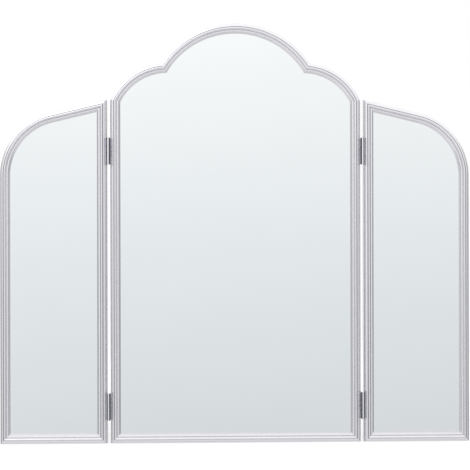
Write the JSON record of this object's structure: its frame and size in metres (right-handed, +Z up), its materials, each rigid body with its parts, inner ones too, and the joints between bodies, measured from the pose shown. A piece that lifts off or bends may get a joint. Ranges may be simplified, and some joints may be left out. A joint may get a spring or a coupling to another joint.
{
  "type": "trifold table mirror",
  "caption": "Free-standing dressing-table mirror: an arched centre panel with two hinged wings that fold forward over it, in slim silver moulded frames.",
  "frame": {"origin": "middle of the footprint, on the surface the mirror stands on", "axes": "+X to the right along the widest side as seen from the front, +Y to the back, +Z up"},
  "size_m": [0.685, 0.0215, 0.612],
  "materials": {
    "silver_frame": "satin silver lacquer with fine streaks over moulded fibreboard",
    "mirror_glass": "silvered float glass",
    "backing_board": "plain brown hardboard",
    "polished_hinge": "polished nickel plate",
    "steel_hardware": "zinc plated"
  },
  "bodies": {
    "centre_panel": {"centre_bottom_rail": "silver_frame", "centre_left_stile": "silver_frame", "centre_right_stile": "silver_frame", "centre_left_shoulder": "silver_frame", "centre_right_shoulder": "silver_frame", "centre_crown": "silver_frame", "centre_mirror_glass": "mirror_glass", "centre_backing_board": "backing_board", "centre_retaining_points": "steel_hardware", "centre_joint_wedges": "steel_hardware", "centre_hinge_screws": "steel_hardware", "lower_left_hinge_centre_leaf": "polished_hinge", "lower_left_hinge_pin": "polished_hinge", "upper_left_hinge_centre_leaf": "polished_hinge", "upper_left_hinge_pin": "polished_hinge", "lower_right_hinge_centre_leaf": "polished_hinge", "lower_right_hinge_pin": "polished_hinge", "upper_right_hinge_centre_leaf": "polished_hinge", "upper_right_hinge_pin": "polished_hinge"},
    "left_wing": {"left_wing_bottom_rail": "silver_frame", "left_wing_outer_stile": "silver_frame", "left_wing_inner_stile": "silver_frame", "left_wing_corner_bend": "silver_frame", "left_wing_top_rail": "silver_frame", "left_wing_mirror_glass": "mirror_glass", "left_wing_backing_board": "backing_board", "left_wing_retaining_points": "steel_hardware", "left_wing_joint_wedges": "steel_hardware", "left_wing_hinge_screws": "steel_hardware", "lower_left_hinge_wing_leaf": "polished_hinge", "upper_left_hinge_wing_leaf": "polished_hinge"},
    "right_wing": {"right_wing_bottom_rail": "silver_frame", "right_wing_outer_stile": "silver_frame", "right_wing_inner_stile": "silver_frame", "right_wing_corner_bend": "silver_frame", "right_wing_top_rail": "silver_frame", "right_wing_mirror_glass": "mirror_glass", "right_wing_backing_board": "backing_board", "right_wing_retaining_points": "steel_hardware", "right_wing_joint_wedges": "steel_hardware", "right_wing_hinge_screws": "steel_hardware", "lower_right_hinge_wing_leaf": "polished_hinge", "upper_right_hinge_wing_leaf": "polished_hinge"}
  },
  "joints": [
    {"name": "left_wing_fold", "type": "hinge", "parent": "centre_panel", "child": "left_wing", "pos_m": [-0.185, -0.00775, 0], "axis": [0, 0, 1], "range_deg": [0, 180]},
    {"name": "right_wing_fold", "type": "hinge", "parent": "centre_panel", "child": "right_wing", "pos_m": [0.185, -0.00775, 0], "axis": [0, 0, -1], "range_deg": [0, 180]}
  ]
}
